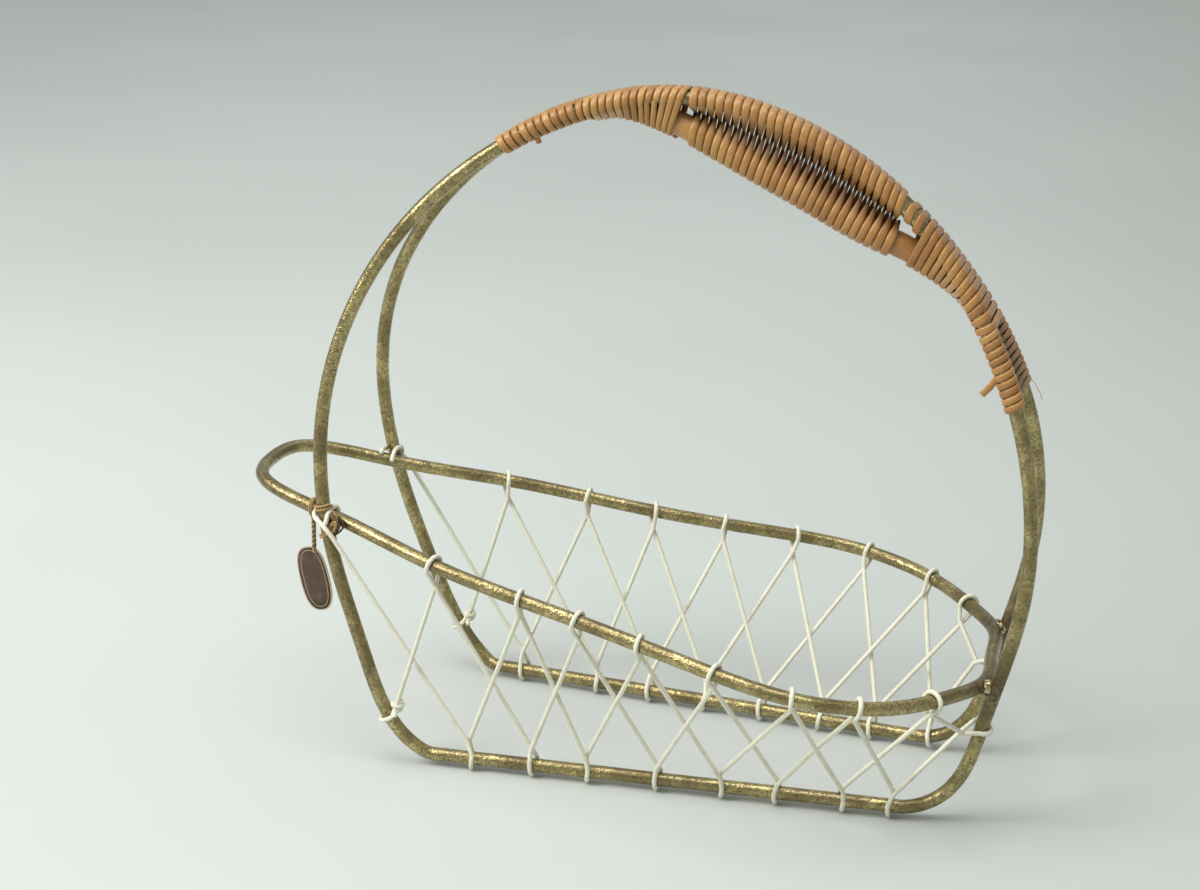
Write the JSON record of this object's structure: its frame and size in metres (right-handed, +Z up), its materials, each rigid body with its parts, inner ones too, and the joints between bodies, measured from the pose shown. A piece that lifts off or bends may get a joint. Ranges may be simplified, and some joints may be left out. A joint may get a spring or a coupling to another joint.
{
  "type": "wine bottle basket",
  "caption": "Open metal-tube cradle basket for serving a reclined wine bottle, with cord-laced sides, a cane-wound arched handle and a small oval tag that hangs from its rim.",
  "frame": {"origin": "on the floor under the middle of the basket's bounding box", "axes": "+X from the rim's nose, where the bottle's neck points, to its base end; +Y to the far side; +Z up. The tag hangs on the -Y side."},
  "size_m": [0.279, 0.1446, 0.2403],
  "materials": {
    "brass": "aged, with dark specks and worn highlights",
    "cane": "satin split cane",
    "cord": "matt waxed cotton cord",
    "twine": "matt two-ply twine",
    "card": "matt printed card with a pale border"
  },
  "bodies": {
    "basket": {"side_hoop_near": "brass", "side_hoop_far": "brass", "basket_rim": "brass", "weld_bead_front_near": "brass", "weld_bead_rear_near": "brass", "weld_bead_front_far": "brass", "weld_bead_rear_far": "brass", "side_lacing_near": "cord", "side_lacing_far": "cord", "grip_core_cane": "cane", "winding_front_binding": "cane", "winding_front_wrap": "cane", "winding_figure_eight": "cane", "winding_rear_wrap": "cane", "winding_rear_binding": "cane", "cane_tail_rear": "cane", "cane_stub_front": "cane", "tag_tie": "twine"},
    "string": {"tag_string": "twine"},
    "tag": {"swing_tag": "card"}
  },
  "joints": [
    {"name": "string_swing", "type": "hinge", "parent": "basket", "child": "string", "pos_m": [-0.10985, -0.02855, 0.08876], "axis": [0.9738, -0.2276, 0], "range_deg": [-75, 60]},
    {"name": "tag_turn", "type": "hinge", "parent": "string", "child": "tag", "pos_m": [-0.10985, -0.02855, 0.07196], "axis": [0, -1, 0], "range_deg": [-10, 60]}
  ]
}
